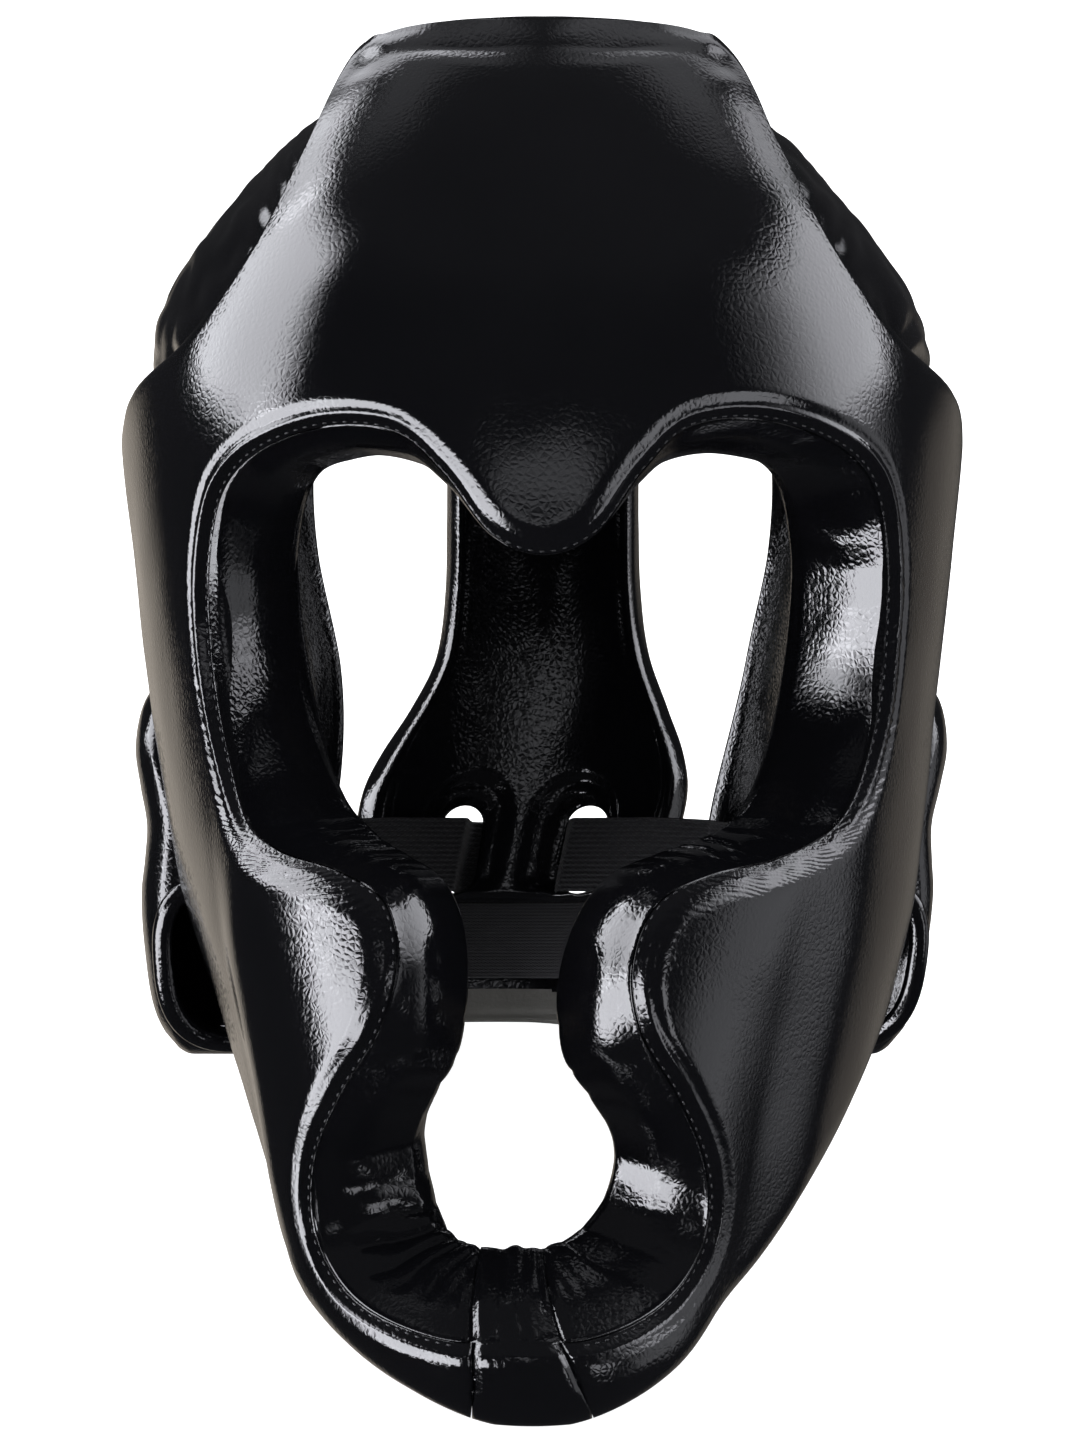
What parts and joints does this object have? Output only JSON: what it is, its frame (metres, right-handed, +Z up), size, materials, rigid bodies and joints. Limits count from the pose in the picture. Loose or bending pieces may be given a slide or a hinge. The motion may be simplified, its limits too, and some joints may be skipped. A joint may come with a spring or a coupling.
{
  "type": "full face sparring headgear",
  "caption": "Padded black leather sparring headgear with a keyhole face opening, ear cups with forward scoops, a slotted rear pad and elastic bands at the nape.",
  "frame": {"origin": "middle of the bounding box on the floor that the headgear stands on", "axes": "+X across the face towards the viewer's right, +Y from the face to the back of the head, +Z up"},
  "size_m": [0.1964, 0.3066, 0.2764],
  "materials": {
    "leather": "glossy black with fine grain",
    "ribbed_elastic": "matte black ribs",
    "woven_elastic": "matte black fine weave"
  },
  "bodies": {
    "root": {"face_shell": "leather", "face_roll": "leather", "chin_gusset": "leather", "wing_left": "leather", "wing_right": "leather", "ear_pad_left": "leather", "ear_pad_right": "leather", "rear_pad": "leather", "rear_elastic": "ribbed_elastic", "nape_elastic": "woven_elastic", "nape_strap": "leather"}
  },
  "joints": []
}
